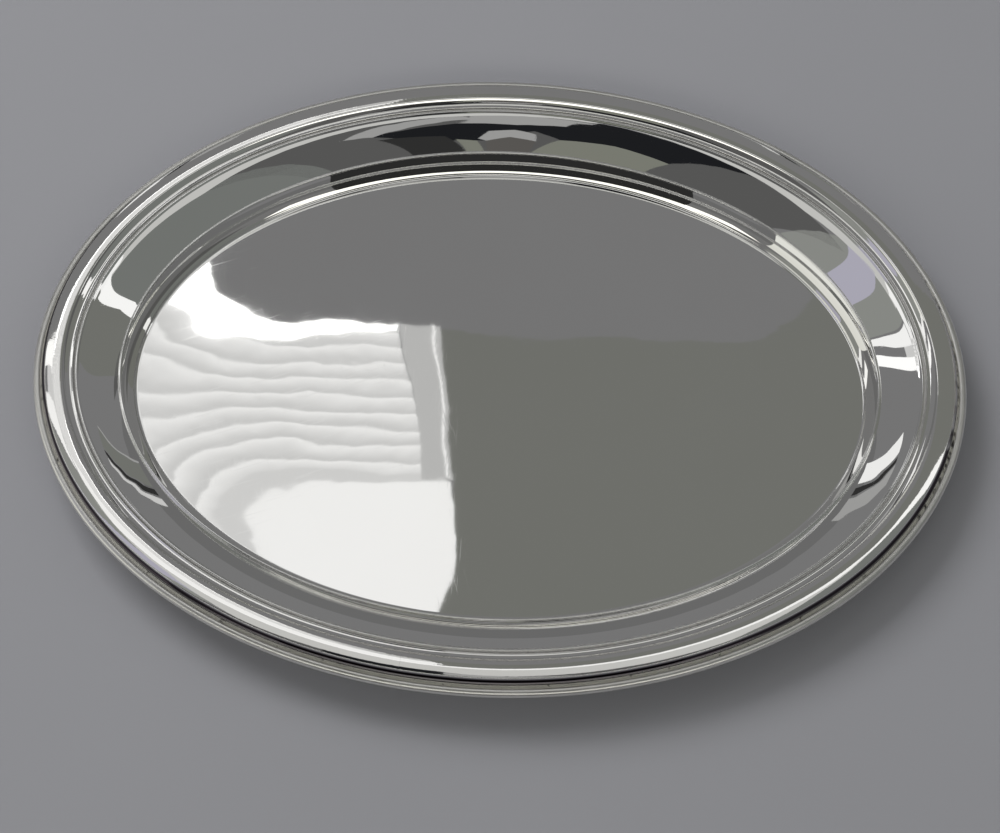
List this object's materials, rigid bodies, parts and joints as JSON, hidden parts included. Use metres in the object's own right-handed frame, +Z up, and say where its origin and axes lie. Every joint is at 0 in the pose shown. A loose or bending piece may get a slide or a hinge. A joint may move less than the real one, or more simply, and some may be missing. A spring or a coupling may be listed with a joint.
{
  "type": "oval silver salver",
  "caption": "Shallow oval silver serving tray with a flat well, a beaded well edge, an upswept plain border and a stepped moulded rim.",
  "frame": {"origin": "middle of the flat underside of the well, on the surface the salver rests on", "axes": "+X along the oval's long axis, +Y along its short axis, +Z up out of the well"},
  "size_m": [0.3, 0.2302, 0.0177],
  "materials": {
    "polished_sheet": "polished sterling silver with fine hairline wear, not chrome plate",
    "moulding_silver": "polished drawn silver wire, slightly uneven",
    "edge_silver": "silver edge dulled to a satin by handling, with brighter worn spots",
    "solder": "silver solder, filed flush, satin",
    "tarnished_solder": "silver solder under dark tarnish and dried polish"
  },
  "bodies": {
    "root": {"dish_body": "polished_sheet", "rim_moulding": "moulding_silver", "edge_wire": "edge_silver", "inner_solder_seam": "solder", "outer_solder_seam": "tarnished_solder"}
  },
  "joints": []
}
